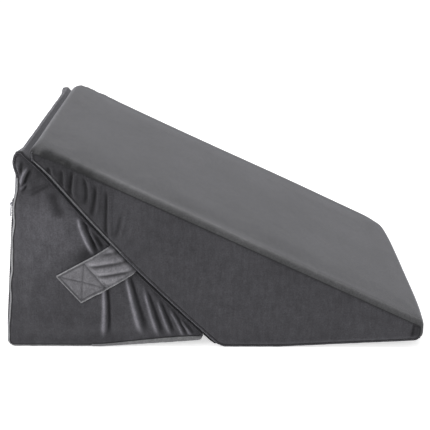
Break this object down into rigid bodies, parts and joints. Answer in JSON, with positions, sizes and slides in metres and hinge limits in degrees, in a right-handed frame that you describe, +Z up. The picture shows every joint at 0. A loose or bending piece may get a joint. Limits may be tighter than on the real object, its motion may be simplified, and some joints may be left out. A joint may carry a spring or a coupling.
{
  "type": "folding dog ramp",
  "caption": "Folding foam ramp in a zipped cloth cover: a wedge cushion lies on a base wedge, joined by a cloth hinge along the floor, with side straps.",
  "frame": {"origin": "on the floor under the middle of the ramp: bottom centre of its box", "axes": "+X from the high back to the low toe, +Y across the ramp to its far side, +Z up"},
  "size_m": [0.6999, 0.506, 0.3485],
  "materials": {
    "cover_top": "short-pile mid-grey velvet, soft and matte",
    "cover_side": "dark grey velvet, soft and matte",
    "cover_bottom": "dark woven backing cloth with small non-slip dots",
    "strap_webbing": "soft grey cloth strap with a topstitched rim",
    "foam": "open-cell cushion foam",
    "lining": "thin pale non-woven lining",
    "zipper_tape": "woven zipper tape",
    "zipper_coil": "nylon coil, slightly glossy",
    "zipper_metal": "plated metal, bright, lightly worn",
    "hinge_cloth": "dark woven cloth strip"
  },
  "bodies": {
    "base": {"base_foam": "foam", "base_liner": "lining", "base_back_panel": "cover_side", "base_slope_panel": "cover_side", "base_bottom_panel": "cover_bottom", "base_near_side": "cover_side", "base_far_side": "cover_side", "base_zipper_tape": "zipper_tape", "base_zipper_coil": "zipper_coil", "base_zipper_stops": "zipper_metal", "near_strap": "strap_webbing", "far_strap": "strap_webbing", "hinge_leaf_base": "hinge_cloth"},
    "ramp": {"ramp_foam": "foam", "ramp_liner": "lining", "ramp_top_panel": "cover_top", "ramp_under_panel": "cover_side", "ramp_bottom_panel": "cover_bottom", "ramp_near_side": "cover_side", "ramp_far_side": "cover_side", "ramp_zipper_tape": "zipper_tape", "ramp_zipper_coil": "zipper_coil", "ramp_zipper_stops": "zipper_metal", "hinge_leaf_ramp": "hinge_cloth"},
    "base_slider": {"base_zipper_slider": "zipper_metal"},
    "base_pull": {"base_zipper_pull": "zipper_metal"},
    "ramp_slider": {"ramp_zipper_slider": "zipper_metal"}
  },
  "joints": [
    {"name": "fold", "type": "hinge", "parent": "base", "child": "ramp", "pos_m": [0, 0, 0.0016], "axis": [0, 1, 0], "range_deg": [0, 178]},
    {"name": "base_slider_run", "type": "slide", "parent": "base", "child": "base_slider", "axis": [-0.105, 0, -0.9945], "range_m": [0, 0.199]},
    {"name": "base_pull_swing", "type": "hinge", "parent": "base_slider", "child": "base_pull", "pos_m": [-0.32953, -0.236, 0.25129], "axis": [0, 1, 0], "range_deg": [0, 170]},
    {"name": "ramp_slider_run", "type": "slide", "parent": "ramp", "child": "ramp_slider", "axis": [0, 1, 0], "range_m": [0, 0.4]}
  ]
}
